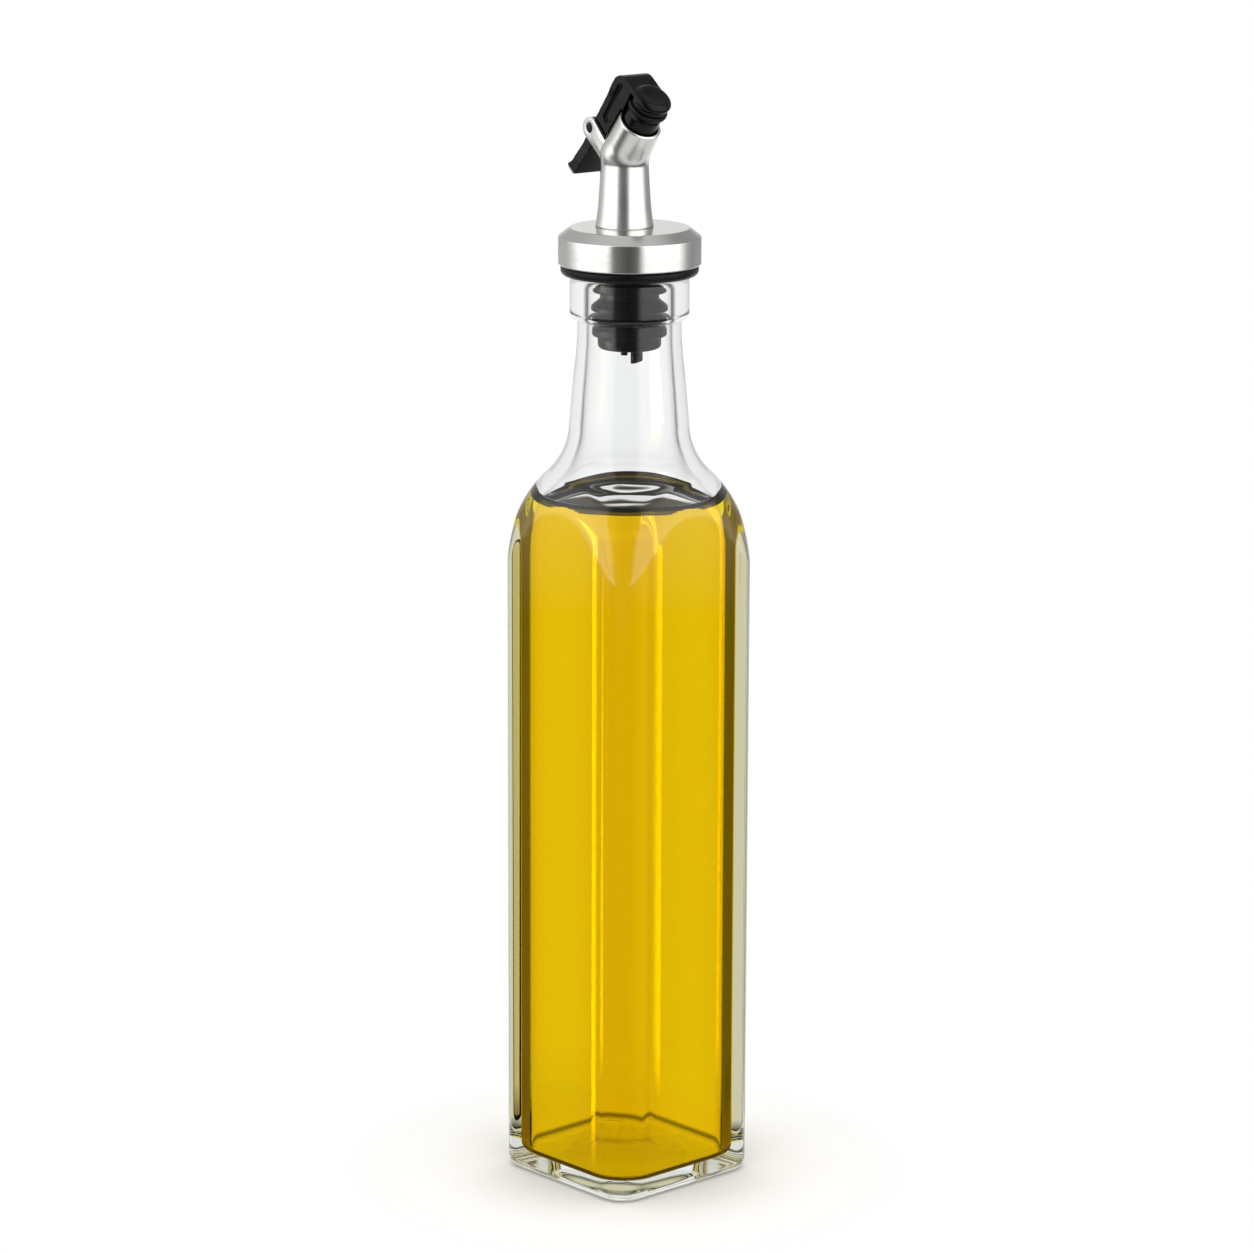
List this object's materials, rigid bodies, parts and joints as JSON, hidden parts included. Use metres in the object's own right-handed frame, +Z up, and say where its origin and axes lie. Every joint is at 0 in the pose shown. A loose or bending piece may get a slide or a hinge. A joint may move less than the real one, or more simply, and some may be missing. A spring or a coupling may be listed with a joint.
{
  "type": "oil cruet",
  "caption": "Square glass bottle of yellow oil with a round neck, shut by a ribbed stopper that carries a metal pourer with a flip lever.",
  "frame": {"origin": "centre of the base, on the surface the bottle stands on", "axes": "+Z up along the bottle; X and Y square to the flat sides; the pourer points along +X, turned 5 degrees towards -Y"},
  "size_m": [0.055, 0.055, 0.3269],
  "materials": {
    "clear_glass": "clear polished",
    "oil": "clear liquid",
    "black_rubber": "smooth moulded",
    "polished_steel": "polished, softly blurred",
    "cast_metal": "satin cast",
    "black_plastic": "smooth moulded"
  },
  "bodies": {
    "bottle": {"glass_bottle": "clear_glass", "oil": "oil", "stopper": "black_rubber", "collar": "polished_steel", "spout": "cast_metal", "nozzle": "black_plastic", "vent_tube": "black_plastic", "pour_tube": "black_plastic"},
    "lever": {"lever": "black_plastic", "plug": "black_rubber"}
  },
  "joints": [
    {"name": "lever_hinge", "type": "hinge", "parent": "bottle", "child": "lever", "pos_m": [-0.01177, 0.00103, 0.31072], "axis": [-0.0872, -0.9962, 0], "range_deg": [0, 30]}
  ]
}
